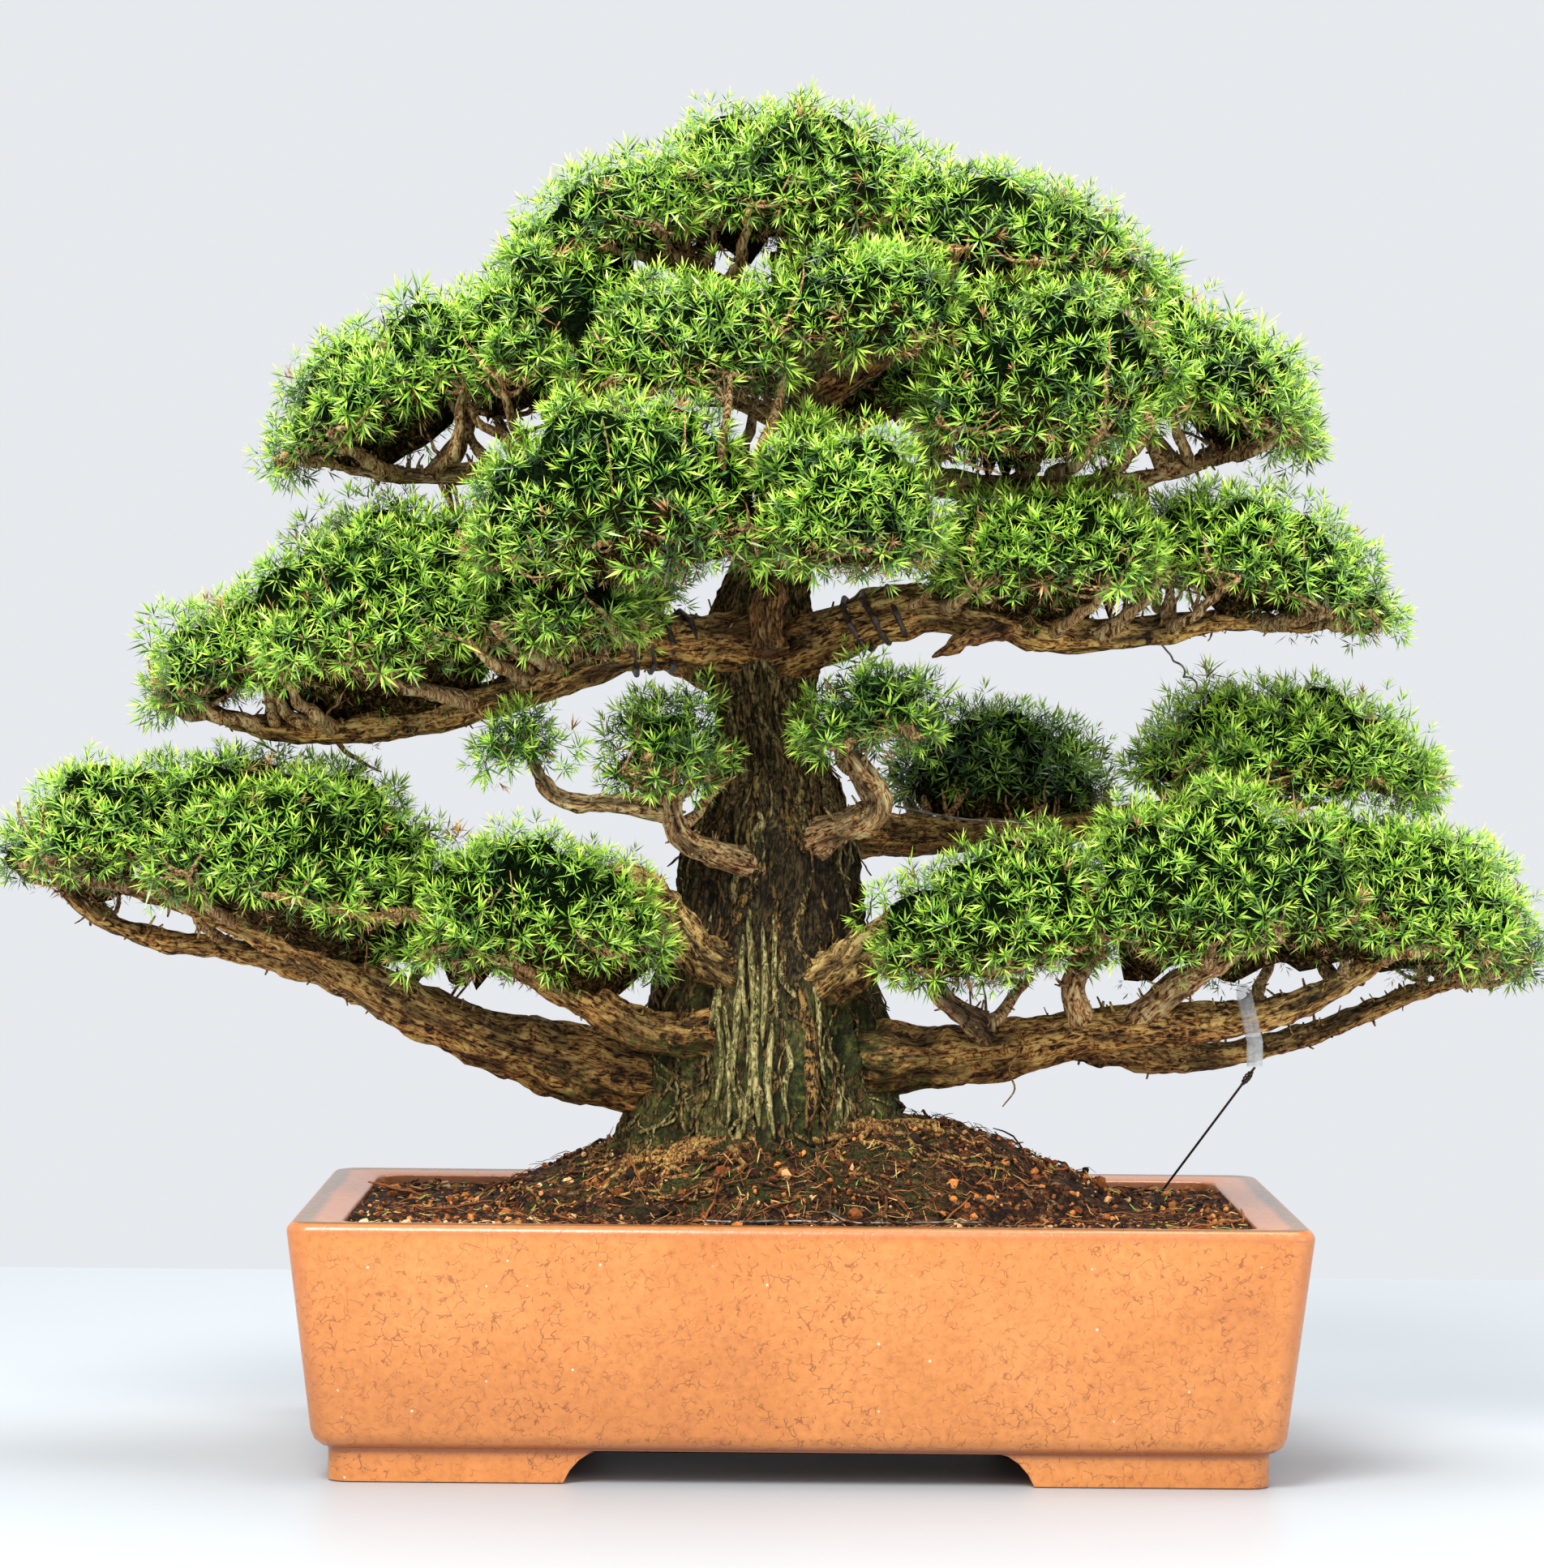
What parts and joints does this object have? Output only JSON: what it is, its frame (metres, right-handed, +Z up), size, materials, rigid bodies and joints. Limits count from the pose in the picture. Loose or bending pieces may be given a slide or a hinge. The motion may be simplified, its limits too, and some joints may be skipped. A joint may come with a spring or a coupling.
{
  "type": "bonsai tree in a pot",
  "caption": "Old needle-leaved bonsai with a fluted trunk, wide tiered branches and clipped foliage clouds, in a rectangular orange-glazed pot with an inward lip and corner feet.",
  "frame": {"origin": "under the middle of the whole object's box, on the surface the pot stands on", "axes": "+X to the right seen from the tree's front, +Y from the front to the back, +Z up"},
  "size_m": [0.7974, 0.361, 0.692],
  "materials": {
    "glaze": "gloss",
    "soil": "matte",
    "bark": "matte",
    "foliage": "satin",
    "moss": "matte",
    "steel_wire": "satin",
    "training_wire": "satin",
    "clear_plastic": "gloss",
    "screen_plastic": "matte"
  },
  "bodies": {
    "root": {"crown_front_pad": "foliage", "crown_left_limb": "bark", "crown_left_pad": "foliage", "crown_pad": "foliage", "crown_right_limb": "bark", "crown_right_pad": "foliage", "curled_branch": "bark", "drain_screen_left": "screen_plastic", "drain_screen_right": "screen_plastic", "front_branch": "bark", "front_left_pad": "foliage", "front_right_pad": "foliage", "guy_sleeve": "clear_plastic", "guy_wire": "steel_wire", "left_front_branch": "bark", "left_stub_branch": "bark", "left_tuft_pad": "foliage", "low_left_branch": "bark", "low_left_inner_pad": "foliage", "low_left_pad": "foliage", "low_left_rear_limb": "bark", "low_left_tip_pad": "foliage", "low_left_upper_branch": "bark", "low_right_branch": "bark", "low_right_fork_limb": "bark", "low_right_inner_pad": "foliage", "low_right_outer_pad": "foliage", "low_right_pad": "foliage", "low_right_rear_limb": "bark", "low_right_upper_pad": "foliage", "low_right_upright_limb": "bark", "middle_left_branch": "bark", "middle_left_inner_pad": "foliage", "middle_left_pad": "foliage", "middle_left_tip_pad": "foliage", "middle_rear_pad": "foliage", "middle_right_branch": "bark", "middle_right_inner_pad": "foliage", "middle_right_pad": "foliage", "pot": "glaze", "rear_left_branch": "bark", "rear_right_branch": "bark", "rear_right_pad": "foliage", "right_front_branch": "bark", "right_stub_branch": "bark", "right_tuft_pad": "foliage", "soil": "soil", "tie_wire": "steel_wire", "training_wire_left": "training_wire", "training_wire_right": "training_wire", "trunk": "bark", "upper_centre_pad": "foliage", "upper_left_branch": "bark", "upper_left_inner_pad": "foliage", "upper_left_pad": "foliage", "upper_rear_branch": "bark", "upper_rear_pad": "foliage", "upper_right_branch": "bark", "upper_right_inner_pad": "foliage", "upper_right_pad": "foliage"}
  },
  "joints": []
}
